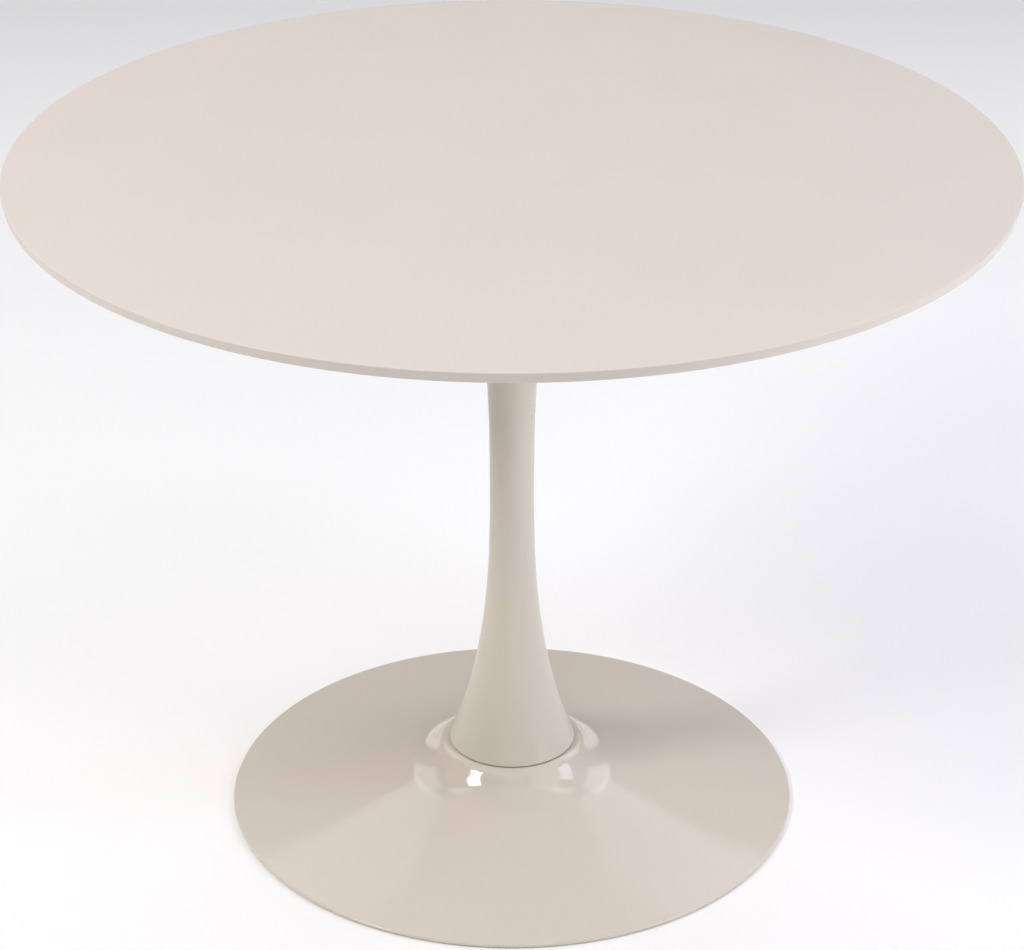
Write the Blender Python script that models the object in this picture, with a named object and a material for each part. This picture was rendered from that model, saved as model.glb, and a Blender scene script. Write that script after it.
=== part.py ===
"""Round pedestal table, in metres, +Z up.

A lacquered board top is screwed to a round steel plate. Under the plate stand a spun steel
trumpet column and a flared, weighted steel foot. One threaded rod runs down the middle from a
socket under the plate to a nut inside the foot's dome, and clamps plate, column and foot
together. Nothing on the table moves in use.

The origin is on the floor, under the middle of the table.
"""

import math

import bmesh
import bpy
from mathutils import Matrix

# ---- Driving dimensions -----------------------------------------------------------------

GAP = 0.0003                    # air between two pieces that touch or are welded

TABLE_HEIGHT = 0.750
TOP_RADIUS = 0.515
TOP_THICKNESS = 0.018
TOP_ARRIS = 0.0012              # rounding of the upper edge
TOP_EDGE_HEIGHT = 0.0104        # the upright band that shows as the table's edge
TOP_EDGE_LEAN = 0.0019          # the band leans in by this much at its lower edge
TOP_BEVEL_WIDTH = 0.040         # sloping undercut below the band

PLATE_RADIUS = 0.160
PLATE_THICKNESS = 0.004
SCREW_COUNT = 8
SCREW_EDGE_MARGIN = 0.022       # plate edge to the middle of a screw
SCREW_RADIUS = 0.003
SCREW_HEAD_OVERHANG = 0.0028
SCREW_HEAD_HEIGHT = 0.0033
SCREW_HEAD_DOME = math.radians(60)
INSERT_WALL = 0.0017
INSERT_LENGTH = 0.0120
SCREW_TIP_SETBACK = 0.0013      # a screw ends this far short of its insert's inner end

COLUMN_WALL = 0.0020
COLUMN_HEAD_RADIUS = 0.056
COLUMN_WAIST_RADIUS = 0.0237
COLUMN_WAIST_HEIGHT = 0.390
COLUMN_FOOT_RADIUS = 0.069
COLUMN_HEAD_FLARE = 2.3         # exponent of the flare above the waist
COLUMN_FOOT_FLARE = 2.8         # exponent of the flare below the waist
RING_THICKNESS = 0.0045         # the two centring rings welded inside the column
HEAD_RING_DROP = 0.0060         # head ring's top face below the column's top edge

SEAL_THICKNESS = 0.0006
SEAL_WIDTH = 0.0100
SEAL_SETBACK = 0.0006           # the seal's edge lies this far inside the column's edge

BASE_RADIUS = 0.3100
BASE_HEIGHT = 0.0697
BASE_WALL = 0.0020
CROWN_LEDGE = 0.0008            # flat of the crown that shows round the column
CROWN_LIP = 0.0150              # flat of the crown inside the seal
SHOULDER_RADIUS = 0.0130
FLANK_ANGLE = math.radians(52)
FLANK_LENGTH = 0.0065
SWEEP_RADIUS = 0.0650           # hollow curve between the dome and the flare
FLARE_START_ANGLE = math.radians(15.5)
FLARE_POWER = 2.9               # how fast the flare's slope dies away towards the rim
RIM_BEAD_RADIUS = 0.0020
RIM_LAND = 0.0010
RIM_CLEARANCE = 0.0009          # floor to the lowest point of the rim

NECK_PLATE_SETBACK = 0.0082     # crown's edge to the plate's edge
NECK_PLATE_THICKNESS = 0.006

ROD_RADIUS = 0.006
ROD_CLEARANCE = 0.0006          # plain holes that the rod passes through
THREAD_CLEARANCE = 0.0003       # threads are plain, so a nut stands off its rod by this
ROD_TAIL = 0.0050               # rod showing below the lower nut
SOCKET_WALL = 0.0047
SOCKET_LENGTH = 0.0300
ROD_NUT_WALL = 0.0032           # bore to the middle of a flat
ROD_NUT_HEIGHT = 0.0100
JAM_NUT_HEIGHT = 0.0060
ROD_WASHER_BAND = 0.0114
ROD_WASHER_THICKNESS = 0.0025
SPRING_WASHER_BAND = 0.0036
SPRING_WASHER_THICKNESS = 0.0030
SPRING_WASHER_SLIT = 0.0012

PAD_COUNT = 8
PAD_RADIUS = 0.016
PAD_THICKNESS = 0.0015
PAD_EDGE_MARGIN = 0.002         # ballast's edge to a pad's edge

BALLAST_BORE_RADIUS = 0.150
BALLAST_OUTER_MARGIN = 0.020    # ballast edge inside the rim
BALLAST_HEIGHT = 0.0140         # at most, where the flare leaves room
BALLAST_TOP_CLEARANCE = 0.0005
STUD_COUNT = 4
STUD_MARGIN = 0.020             # ballast bore to the middle of a stud
STUD_RADIUS = 0.004
STUD_HOLE_CLEARANCE = 0.0006
STUD_RECESS = 0.0006            # ballast's underside to a stud's lower end
POCKET_CLEARANCE = 0.0025       # room for a socket wrench round the washer
STUD_WASHER_BAND = 0.0042
STUD_WASHER_THICKNESS = 0.0016
STUD_NUT_WALL = 0.0022
STUD_NUT_HEIGHT = 0.0040
STUD_TAIL = 0.0008

TOP_SEGMENTS = 80               # each a multiple of 4, so that the size is true along X and Y
BASE_SEGMENTS = 60
COLUMN_SEGMENTS = 36
COLUMN_STEPS = 15               # straight stretches up the column's curve
DOME_STEPS = 4                  # straight stretches round the shoulder and round the sweep
FLARE_STEPS = 7
BALLAST_STEPS = 6
PLATE_SEGMENTS = 48
ROD_SEGMENTS = 24               # a multiple of 6 as well, for the nuts' flats
SMALL_SEGMENTS = 12
PAD_SEGMENTS = 16
SHARP_ANGLE = math.radians(30)
MERGE_DISTANCE = 0.00001

# ---- Levels worked out from the driving dimensions --------------------------------------

top_underside = TABLE_HEIGHT - TOP_THICKNESS
plate_top = top_underside - GAP
plate_underside = plate_top - PLATE_THICKNESS
column_top = plate_underside - GAP
seal_underside = BASE_HEIGHT + GAP
column_bottom = seal_underside + SEAL_THICKNESS + GAP
crown_underside = BASE_HEIGHT - BASE_WALL
neck_plate_top = crown_underside - GAP
rod_hole_radius = ROD_RADIUS + ROD_CLEARANCE
rod_thread_radius = ROD_RADIUS + THREAD_CLEARANCE
rod_nut_across = 2 * (rod_thread_radius + ROD_NUT_WALL)
socket_radius = rod_thread_radius + SOCKET_WALL
screw_thread_radius = SCREW_RADIUS + THREAD_CLEARANCE
screw_circle_radius = PLATE_RADIUS - SCREW_EDGE_MARGIN
insert_radius = screw_thread_radius + INSERT_WALL
stud_thread_radius = STUD_RADIUS + THREAD_CLEARANCE
stud_washer_radius = stud_thread_radius + STUD_WASHER_BAND
seal_radius = COLUMN_FOOT_RADIUS - SEAL_SETBACK
crown_radius = COLUMN_FOOT_RADIUS + CROWN_LEDGE
crown_hole_radius = seal_radius - SEAL_WIDTH - CROWN_LIP
ballast_radius = BASE_RADIUS - BALLAST_OUTER_MARGIN
ballast_underside = PAD_THICKNESS + GAP

# ---- Empty scene ------------------------------------------------------------------------

for old in list(bpy.data.objects):
    bpy.data.objects.remove(old, do_unlink=True)


# ---- Making and placing a piece ---------------------------------------------------------

def finish(name, colour, roughness, metallic):
    """A plain material for one kind of piece."""
    made = bpy.data.materials.new(name)
    made.use_nodes = True
    shader = made.node_tree.nodes["Principled BSDF"]
    shader.inputs["Base Color"].default_value = (*colour, 1.0)
    shader.inputs["Roughness"].default_value = roughness
    shader.inputs["Metallic"].default_value = metallic
    return made


def arc(centre, radius, start, end, steps):
    """Points of a section round a centre; an angle is measured from straight up, outwards."""
    points = []
    for step in range(steps + 1):
        angle = start + (end - start) * step / steps
        points.append((centre[0] + radius * math.sin(angle), centre[1] + radius * math.cos(angle)))
    return points


def turned(section, segments):
    """A mesh turned about Z from a section of (radius, height) points.

    A section that starts and ends on the axis is left open there; any other one is a closed
    loop, such as a ring or the wall of a shell.
    """
    shape = bmesh.new()
    points = [shape.verts.new((radius, 0.0, height)) for radius, height in section]
    for first, second in zip(points, points[1:]):
        shape.edges.new((first, second))
    if section[0][0] > 0.0:
        shape.edges.new((points[-1], points[0]))
    bmesh.ops.spin(shape, geom=shape.verts[:] + shape.edges[:], cent=(0, 0, 0), axis=(0, 0, 1),
                   angle=math.tau, steps=segments, use_merge=True)
    bmesh.ops.remove_doubles(shape, verts=shape.verts, dist=MERGE_DISTANCE)
    bmesh.ops.recalc_face_normals(shape, faces=shape.faces)
    return shape


def ring(inner, outer, low, high, segments):
    """A flat ring, or a disc where the inner radius is nought."""
    return turned([(inner, high), (outer, high), (outer, low), (inner, low)], segments)


def to_mesh(name, shape):
    mesh = bpy.data.meshes.new(name)
    shape.to_mesh(mesh)
    shape.free()
    mesh.shade_smooth()
    mesh.set_sharp_from_angle(angle=SHARP_ANGLE)
    return mesh


def place(name, mesh, material, location=(0.0, 0.0, 0.0), turn=0.0):
    """Puts one piece in the scene; copies of a piece share its mesh."""
    piece = bpy.data.objects.new(name, mesh)
    bpy.context.scene.collection.objects.link(piece)
    piece.location = location
    piece.rotation_euler.z = turn
    if not mesh.materials:
        mesh.materials.append(material)
    return piece


def make(name, shape, material):
    return place(name, to_mesh(name, shape), material)


def around(count, radius):
    """Places on a circle about Z, as (number, angle, x, y), the first half a step from +X."""
    for index in range(count):
        angle = math.tau * (index + 0.5) / count
        yield index + 1, angle, radius * math.cos(angle), radius * math.sin(angle)


def pattern(name, shape, material, count, radius):
    """Copies of one piece round a circle."""
    mesh = to_mesh(name, shape)
    for number, angle, x, y in around(count, radius):
        place(f"{name}_{number}", mesh, material, (x, y, 0.0), angle)


def cut(piece, name, shape, count=0, radius=0.0):
    """Takes a shape out of a piece, once or at each place round a circle."""
    if count:
        single = to_mesh(name, shape)
        shape = bmesh.new()
        for _, angle, x, y in around(count, radius):
            start = len(shape.verts)
            shape.from_mesh(single)
            shape.verts.ensure_lookup_table()
            moved = shape.verts[start:]
            bmesh.ops.rotate(shape, verts=moved, cent=(0, 0, 0), matrix=Matrix.Rotation(angle, 3, "Z"))
            bmesh.ops.translate(shape, verts=moved, vec=(x, y, 0.0))
    cutter = place(name, to_mesh(name, shape), None)
    cutter.hide_render = True
    cutter.display_type = "WIRE"
    modifier = piece.modifiers.new(name, "BOOLEAN")
    modifier.operation = "DIFFERENCE"
    modifier.solver = "EXACT"
    modifier.object = cutter


def hexagonal(shape, bore_radius):
    """Presses the outside of a turned ring into six flats."""
    flat = math.tau / 6
    for vert in shape.verts:
        if math.hypot(vert.co.x, vert.co.y) > bore_radius + MERGE_DISTANCE:
            from_flat = (math.atan2(vert.co.y, vert.co.x) + flat / 2) % flat - flat / 2
            vert.co.x /= math.cos(from_flat)
            vert.co.y /= math.cos(from_flat)
    return shape


def nut(bore, across, low, high, segments):
    return hexagonal(ring(bore, across / 2, low, high, segments), bore)


# ---- Finishes ---------------------------------------------------------------------------

board_lacquer = finish("board_lacquer", (0.80, 0.76, 0.70), 0.42, 0.0)
column_lacquer = finish("column_lacquer", (0.78, 0.74, 0.68), 0.30, 0.0)
base_lacquer = finish("base_lacquer", (0.80, 0.76, 0.69), 0.12, 0.0)
plate_paint = finish("plate_paint", (0.10, 0.10, 0.11), 0.50, 0.0)
steel = finish("zinc_plated_steel", (0.62, 0.63, 0.64), 0.35, 1.0)
dark_steel = finish("raw_steel", (0.32, 0.32, 0.33), 0.50, 1.0)
brass = finish("insert_brass", (0.75, 0.58, 0.28), 0.35, 1.0)
iron = finish("cast_iron", (0.09, 0.09, 0.10), 0.70, 0.6)
seal_rubber = finish("seal_rubber", (0.22, 0.20, 0.18), 0.70, 0.0)
felt = finish("pad_felt", (0.30, 0.28, 0.26), 0.95, 0.0)


# ---- Top: lacquered board ---------------------------------------------------------------

def top_section():
    """From the middle of the upper face, round the edge, to the middle of the underside."""
    arris_centre = (TOP_RADIUS - TOP_ARRIS, TABLE_HEIGHT - TOP_ARRIS)
    return [(0.0, TABLE_HEIGHT),
            *arc(arris_centre, TOP_ARRIS, 0.0, math.pi / 2, 3),
            (TOP_RADIUS - TOP_EDGE_LEAN, TABLE_HEIGHT - TOP_EDGE_HEIGHT),
            (TOP_RADIUS - TOP_BEVEL_WIDTH, top_underside),
            (0.0, top_underside)]


insert_hole_depth = INSERT_LENGTH + 2 * GAP
tabletop = make("tabletop", turned(top_section(), TOP_SEGMENTS), board_lacquer)
cut(tabletop, "insert_hole_cutter",
    ring(0.0, insert_radius + GAP, top_underside - GAP, top_underside + insert_hole_depth,
         SMALL_SEGMENTS),
    SCREW_COUNT, screw_circle_radius)

# ---- Threaded inserts pressed into the board --------------------------------------------

pattern("threaded_insert",
        ring(screw_thread_radius, insert_radius,
             top_underside + GAP, top_underside + GAP + INSERT_LENGTH, SMALL_SEGMENTS),
        brass, SCREW_COUNT, screw_circle_radius)

# ---- Mounting plate with its rod socket -------------------------------------------------

mounting_plate = make("mounting_plate",
                      ring(0.0, PLATE_RADIUS, plate_underside, plate_top, PLATE_SEGMENTS),
                      plate_paint)
cut(mounting_plate, "screw_hole_cutter",
    ring(0.0, screw_thread_radius, plate_underside - GAP, plate_top + GAP, SMALL_SEGMENTS),
    SCREW_COUNT, screw_circle_radius)

socket_bottom = column_top - SOCKET_LENGTH
make("rod_socket",
     ring(rod_thread_radius, socket_radius, socket_bottom, column_top, ROD_SEGMENTS),
     dark_steel)


# ---- Screws through the plate -----------------------------------------------------------

def screw_section():
    """Shank down from the insert, then a domed head below the plate."""
    head_top = plate_underside - GAP
    head_radius = SCREW_RADIUS + SCREW_HEAD_OVERHANG
    tip = top_underside + GAP + INSERT_LENGTH - SCREW_TIP_SETBACK
    section = [(0.0, tip), (SCREW_RADIUS, tip), (SCREW_RADIUS, head_top)]
    for step in range(3):
        angle = SCREW_HEAD_DOME * step / 2
        section.append((head_radius * math.cos(angle),
                        head_top - SCREW_HEAD_HEIGHT * math.sin(angle) / math.sin(SCREW_HEAD_DOME)))
    section.append((0.0, head_top - SCREW_HEAD_HEIGHT))
    return section


pattern("top_screw", turned(screw_section(), SMALL_SEGMENTS), steel,
        SCREW_COUNT, screw_circle_radius)


# ---- Column: spun steel trumpet ---------------------------------------------------------

def column_radius(height):
    """Outer radius of the column: a waist with a flare above it and a wider one below."""
    end, end_radius, flare = column_top, COLUMN_HEAD_RADIUS, COLUMN_HEAD_FLARE
    if height < COLUMN_WAIST_HEIGHT:
        end, end_radius, flare = column_bottom, COLUMN_FOOT_RADIUS, COLUMN_FOOT_FLARE
    share = (height - COLUMN_WAIST_HEIGHT) / (end - COLUMN_WAIST_HEIGHT)
    return COLUMN_WAIST_RADIUS + (end_radius - COLUMN_WAIST_RADIUS) * share ** flare


def column_bore_radius(height):
    """Inner radius, with the wall measured square to the surface."""
    step = 0.0005
    slope = (column_radius(height + step) - column_radius(height - step)) / (2 * step)
    return column_radius(height) - COLUMN_WALL * math.hypot(1.0, slope)


def column_section():
    heights = [column_bottom + (column_top - column_bottom) * step / COLUMN_STEPS
               for step in range(COLUMN_STEPS + 1)]
    outer = [(column_radius(height), height) for height in reversed(heights)]
    inner = [(column_bore_radius(height), height) for height in heights]
    return outer + inner


make("column_shell", turned(column_section(), COLUMN_SEGMENTS), column_lacquer)

# ---- Centring rings welded inside the column --------------------------------------------

head_ring_top = column_top - HEAD_RING_DROP
head_ring_bottom = head_ring_top - RING_THICKNESS
make("column_head_ring",
     ring(socket_radius + THREAD_CLEARANCE, column_bore_radius(head_ring_bottom) - GAP,
          head_ring_bottom, head_ring_top, COLUMN_SEGMENTS),
     dark_steel)

foot_ring_bottom = column_bottom + GAP
foot_ring_top = foot_ring_bottom + RING_THICKNESS
make("column_foot_ring",
     ring(rod_hole_radius, column_bore_radius(foot_ring_top) - GAP,
          foot_ring_bottom, foot_ring_top, COLUMN_SEGMENTS),
     dark_steel)

# ---- Seal between column and foot -------------------------------------------------------

make("column_seal",
     ring(seal_radius - SEAL_WIDTH, seal_radius,
          seal_underside, seal_underside + SEAL_THICKNESS, COLUMN_SEGMENTS),
     seal_rubber)

# ---- Foot: spun steel dome and flare ----------------------------------------------------

bead_radius = BASE_RADIUS - RIM_BEAD_RADIUS            # middle of the bead round the rim
bead_height = RIM_CLEARANCE + RIM_BEAD_RADIUS
land_radius = bead_radius - RIM_LAND

shoulder_centre = (crown_radius, BASE_HEIGHT - SHOULDER_RADIUS)
flank_end = (shoulder_centre[0] + SHOULDER_RADIUS * math.sin(FLANK_ANGLE)
             + FLANK_LENGTH * math.cos(FLANK_ANGLE),
             shoulder_centre[1] + SHOULDER_RADIUS * math.cos(FLANK_ANGLE)
             - FLANK_LENGTH * math.sin(FLANK_ANGLE))
sweep_centre = (flank_end[0] + SWEEP_RADIUS * math.sin(FLANK_ANGLE),
                flank_end[1] + SWEEP_RADIUS * math.cos(FLANK_ANGLE))
flare_start = (sweep_centre[0] - SWEEP_RADIUS * math.sin(FLARE_START_ANGLE),
               sweep_centre[1] - SWEEP_RADIUS * math.cos(FLARE_START_ANGLE))
flare_width = bead_radius - flare_start[0]
flare_drop = flare_start[1] - bead_height - RIM_BEAD_RADIUS
start_slope = math.tan(FLARE_START_ANGLE)
rim_slope = ((FLARE_POWER + 1) * flare_drop / flare_width - start_slope) / FLARE_POWER


def flare_height(radius, depth=0.0):
    """Height of the flare, depth below its outer skin and measured square to it."""
    share = (bead_radius - radius) / flare_width
    bend = (start_slope - rim_slope) * share ** FLARE_POWER
    outer = (bead_height + RIM_BEAD_RADIUS
             + (bead_radius - radius) * (rim_slope + bend / (FLARE_POWER + 1)))
    return outer - depth * math.hypot(1.0, rim_slope + bend)


def steps_between(first, last, count):
    """The ends of count equal steps from first to last."""
    return [first + (last - first) * step / count for step in range(1, count + 1)]


def skin(depth):
    """The foot's curve, depth below its outer skin, from the crown out to the rim."""
    shoulder = arc(shoulder_centre, SHOULDER_RADIUS - depth, 0.0, FLANK_ANGLE, DOME_STEPS)
    sweep = arc(sweep_centre, -(SWEEP_RADIUS + depth), FLANK_ANGLE, FLARE_START_ANGLE, DOME_STEPS)
    flare = [(radius, flare_height(radius, depth))
             for radius in steps_between(flare_start[0], land_radius, FLARE_STEPS)]
    return [(crown_hole_radius, BASE_HEIGHT - depth)] + shoulder + sweep + flare


def base_section():
    bead = arc((bead_radius, bead_height), RIM_BEAD_RADIUS, math.atan(rim_slope), math.pi, 4)
    return skin(0.0) + bead + [(land_radius, RIM_CLEARANCE)] + skin(BASE_WALL)[::-1]


make("base_shell", turned(base_section(), BASE_SEGMENTS), base_lacquer)

# ---- Neck plate welded under the crown --------------------------------------------------

neck_plate_bottom = neck_plate_top - NECK_PLATE_THICKNESS
make("neck_plate",
     ring(rod_hole_radius, crown_radius - NECK_PLATE_SETBACK, neck_plate_bottom, neck_plate_top,
          COLUMN_SEGMENTS),
     dark_steel)

# ---- Tie rod and what clamps it ---------------------------------------------------------

rod_washer_top = neck_plate_bottom - GAP
rod_washer_bottom = rod_washer_top - ROD_WASHER_THICKNESS
make("rod_washer",
     ring(rod_hole_radius, rod_hole_radius + ROD_WASHER_BAND, rod_washer_bottom, rod_washer_top,
          ROD_SEGMENTS),
     steel)

spring_washer_top = rod_washer_bottom - GAP
spring_washer_bottom = spring_washer_top - SPRING_WASHER_THICKNESS
spring_washer_radius = rod_hole_radius + SPRING_WASHER_BAND
spring_washer = make("rod_spring_washer",
                     ring(rod_hole_radius, spring_washer_radius, spring_washer_bottom,
                          spring_washer_top, ROD_SEGMENTS),
                     steel)
slit = bmesh.new()
bmesh.ops.create_cube(slit, size=1.0)
bmesh.ops.scale(slit, verts=slit.verts,
                vec=(2 * spring_washer_radius, SPRING_WASHER_SLIT, 2 * SPRING_WASHER_THICKNESS))
bmesh.ops.translate(slit, verts=slit.verts,
                    vec=(spring_washer_radius, 0.0, spring_washer_bottom + SPRING_WASHER_THICKNESS / 2))
cut(spring_washer, "washer_slit_cutter", slit)

rod_nut_top = spring_washer_bottom - GAP
rod_nut_bottom = rod_nut_top - ROD_NUT_HEIGHT
make("rod_nut",
     nut(rod_thread_radius, rod_nut_across, rod_nut_bottom, rod_nut_top, ROD_SEGMENTS),
     steel)

jam_nut_top = socket_bottom - GAP
make("rod_jam_nut",
     nut(rod_thread_radius, rod_nut_across, jam_nut_top - JAM_NUT_HEIGHT, jam_nut_top, ROD_SEGMENTS),
     steel)

rod_top = column_top - GAP
make("tie_rod", ring(0.0, ROD_RADIUS, rod_nut_bottom - ROD_TAIL, rod_top, ROD_SEGMENTS), steel)

# ---- Cast iron ballast under the flare --------------------------------------------------

stud_circle_radius = BALLAST_BORE_RADIUS + STUD_MARGIN
stud_bottom = ballast_underside + STUD_RECESS
stud_nut_bottom = stud_bottom + STUD_TAIL
stud_washer_bottom = stud_nut_bottom + STUD_NUT_HEIGHT + GAP
seat_height = stud_washer_bottom + STUD_WASHER_THICKNESS + GAP


def ballast_section():
    """A flat top that gives way to the flare's slope towards the rim."""
    radii = [BALLAST_BORE_RADIUS, *steps_between(BALLAST_BORE_RADIUS, ballast_radius, BALLAST_STEPS)]
    top = [(radius, min(ballast_underside + BALLAST_HEIGHT,
                        flare_height(radius, BASE_WALL + BALLAST_TOP_CLEARANCE)))
           for radius in radii]
    return top + [(ballast_radius, ballast_underside), (BALLAST_BORE_RADIUS, ballast_underside)]


ballast = make("ballast_ring", turned(ballast_section(), BASE_SEGMENTS), iron)
stud_hole_radius = STUD_RADIUS + STUD_HOLE_CLEARANCE
pocket_radius = stud_washer_radius + POCKET_CLEARANCE
cut(ballast, "stud_hole_cutter",
    turned([(0.0, flare_height(stud_circle_radius)),
            (stud_hole_radius, flare_height(stud_circle_radius)),
            (stud_hole_radius, seat_height),
            (pocket_radius, seat_height),
            (pocket_radius, ballast_underside - GAP),
            (0.0, ballast_underside - GAP)], SMALL_SEGMENTS),
    STUD_COUNT, stud_circle_radius)

# ---- Weld studs, washers and nuts that hold the ballast ---------------------------------

stud_top = flare_height(stud_circle_radius + STUD_RADIUS, BASE_WALL) - GAP

pattern("weld_stud",
        ring(0.0, STUD_RADIUS, stud_bottom, stud_top, SMALL_SEGMENTS),
        dark_steel, STUD_COUNT, stud_circle_radius)
pattern("ballast_washer",
        ring(stud_thread_radius, stud_washer_radius, stud_washer_bottom,
             stud_washer_bottom + STUD_WASHER_THICKNESS, SMALL_SEGMENTS),
        steel, STUD_COUNT, stud_circle_radius)
pattern("ballast_nut",
        nut(stud_thread_radius, 2 * (stud_thread_radius + STUD_NUT_WALL), stud_nut_bottom,
            stud_nut_bottom + STUD_NUT_HEIGHT, SMALL_SEGMENTS),
        steel, STUD_COUNT, stud_circle_radius)

# ---- Felt pads that the table stands on -------------------------------------------------

pattern("floor_pad", ring(0.0, PAD_RADIUS, 0.0, PAD_THICKNESS, PAD_SEGMENTS), felt,
        PAD_COUNT, ballast_radius - PAD_EDGE_MARGIN - PAD_RADIUS)
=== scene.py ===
import math

import bmesh
import bpy
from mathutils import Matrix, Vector


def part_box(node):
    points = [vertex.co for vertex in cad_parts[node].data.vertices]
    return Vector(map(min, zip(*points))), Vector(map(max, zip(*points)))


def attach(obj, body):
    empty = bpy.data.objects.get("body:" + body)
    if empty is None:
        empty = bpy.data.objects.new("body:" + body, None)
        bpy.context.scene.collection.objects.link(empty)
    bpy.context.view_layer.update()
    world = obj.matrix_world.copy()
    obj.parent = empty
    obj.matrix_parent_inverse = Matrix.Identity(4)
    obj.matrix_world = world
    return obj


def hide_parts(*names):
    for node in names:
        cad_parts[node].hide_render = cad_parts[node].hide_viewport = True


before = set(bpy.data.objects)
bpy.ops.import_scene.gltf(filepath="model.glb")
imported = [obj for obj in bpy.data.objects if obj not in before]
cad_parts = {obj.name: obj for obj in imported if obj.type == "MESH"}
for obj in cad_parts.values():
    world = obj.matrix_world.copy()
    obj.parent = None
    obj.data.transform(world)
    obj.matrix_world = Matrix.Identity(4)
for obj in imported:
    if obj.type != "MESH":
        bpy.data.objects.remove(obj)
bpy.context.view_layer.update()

# ---- Tabletop ---------------------------------------------------------------------------
# A round of 18 mm fibreboard. Its edge is a thin upright band over a long sloping undercut,
# and it is sprayed all over with satin cream lacquer. Blind holes in its underside take the
# threaded inserts.

board_low, board_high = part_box("tabletop")
board_radius = board_high.x
BOARD_SEGMENTS = 256
BAND_HEIGHT = 0.0104
BAND_LEAN = 0.0019
UNDERCUT_WIDTH = 0.040
BOARD_ARRIS = 0.0012
BAND_FOOT_ARRIS = 0.0007
UNDERSIDE_ARRIS = 0.0030
SUPPORT_WIDTH = 0.0020           # flat ring beside a rounded edge, which keeps the face flat
INSERT_COUNT = 8
INSERT_HOLE_RADIUS = 0.0053
INSERT_HOLE_DEPTH = 0.0126
DRILL_SEGMENTS = 32
SMOOTH_ANGLE = math.radians(30)


class Wire:
    """A socket in a material. Sums on it add Math nodes, and add() makes any other node."""

    def __init__(self, tree, socket=None):
        self.tree = tree
        self.socket = socket

    def add(self, kind, settings=None, values=None, output=0):
        node = self.tree.nodes.new(kind)
        for name, setting in (settings or {}).items():
            setattr(node, name, setting)
        for name, value in (values or {}).items():
            if isinstance(value, Wire):
                self.tree.links.new(value.socket, node.inputs[name])
            else:
                node.inputs[name].default_value = value
        return Wire(self.tree, node.outputs[output])

    def sum(self, operation, first, second):
        return self.add("ShaderNodeMath", {"operation": operation}, {0: first, 1: second})

    def __add__(self, other):
        return self.sum("ADD", self, other)

    def __radd__(self, other):
        return self.sum("ADD", other, self)

    def __mul__(self, other):
        return self.sum("MULTIPLY", self, other)

    def __rmul__(self, other):
        return self.sum("MULTIPLY", other, self)


class Finish:
    """A material for one finish, with what is the same all over set on its shader."""

    def __init__(self, name, **constants):
        self.material = bpy.data.materials.new(name)
        self.material.use_nodes = True
        self.shader = self.material.node_tree.nodes["Principled BSDF"]
        self.wire = Wire(self.material.node_tree)
        self.place = self.wire.add("ShaderNodeTexCoord", output="Object")
        for name, value in constants.items():
            self.shader.inputs[name.replace("_", " ")].default_value = value

    def feed(self, socket, value):
        self.material.node_tree.links.new(value.socket, self.shader.inputs[socket])

    def stretched(self, scale):
        return self.wire.add("ShaderNodeMapping", None, {"Vector": self.place, "Scale": scale})

    def noise(self, scale, detail=2.0, place=None):
        """Even noise from 0 to 1, with about scale features in a metre."""
        return self.wire.add("ShaderNodeTexNoise", None,
                             {"Vector": place or self.place, "Scale": scale, "Detail": detail})

    def blend(self, factor, first, second):
        """A colour between two colours."""
        first, second = [(*colour, 1.0) if isinstance(colour, tuple) else colour
                         for colour in (first, second)]
        return self.wire.add("ShaderNodeMix", {"data_type": "RGBA"},
                             {0: factor, 6: first, 7: second}, output=2)

    def bump(self, height, depth):
        """Relief of the given depth in metres between heights 0 and 1."""
        self.feed("Normal", self.wire.add("ShaderNodeBump", None,
                                          {"Height": height, "Distance": depth}))


def lacquer(name, light, deep, roughness, peel_depth, peel_scale):
    """Sprayed cream lacquer: slow clouds in its colour, fine orange peel, a little dust haze."""
    finish = Finish(name, IOR=1.50)
    clouds = finish.noise(2.2, 3.0)
    fine = finish.noise(340.0, 1.0)
    finish.feed("Base Color", finish.blend(clouds * 0.8 + fine * 0.2, light, deep))
    haze = finish.noise(14.0, 4.0)
    finish.feed("Roughness", roughness * (haze * 0.35 + fine * 0.10 + 0.775))
    finish.bump(finish.noise(peel_scale, 2.0) * 0.75 + finish.noise(peel_scale / 6.0, 1.0) * 0.25,
                peel_depth)
    return finish.material


def start(name, add_primitive, **sizes):
    """Adds a primitive with nothing else selected, names it and opens it for editing."""
    if bpy.context.mode != "OBJECT":
        bpy.ops.object.mode_set(mode="OBJECT")
    bpy.ops.object.select_all(action="DESELECT")
    add_primitive(**sizes)
    piece = bpy.context.object
    piece.name = piece.data.name = name
    bpy.ops.object.mode_set(mode="EDIT")
    return piece


def pick(kind, test):
    """Selects only the faces or edges whose middle passes a test, in edit mode."""
    mesh = bpy.context.object.data
    bpy.ops.mesh.select_mode(type={"faces": "FACE", "edges": "EDGE"}[kind])
    bpy.ops.mesh.select_all(action="DESELECT")
    shape = bmesh.from_edit_mesh(mesh)
    for part in getattr(shape, kind):
        part.select_set(test(sum((vert.co for vert in part.verts), Vector()) / len(part.verts)))
    bmesh.update_edit_mesh(mesh)


def near(value, wanted, margin=0.0005):
    return abs(value - wanted) < margin


def across(point):
    """Distance of a point from the table's axis."""
    return math.hypot(point.x, point.y)


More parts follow.
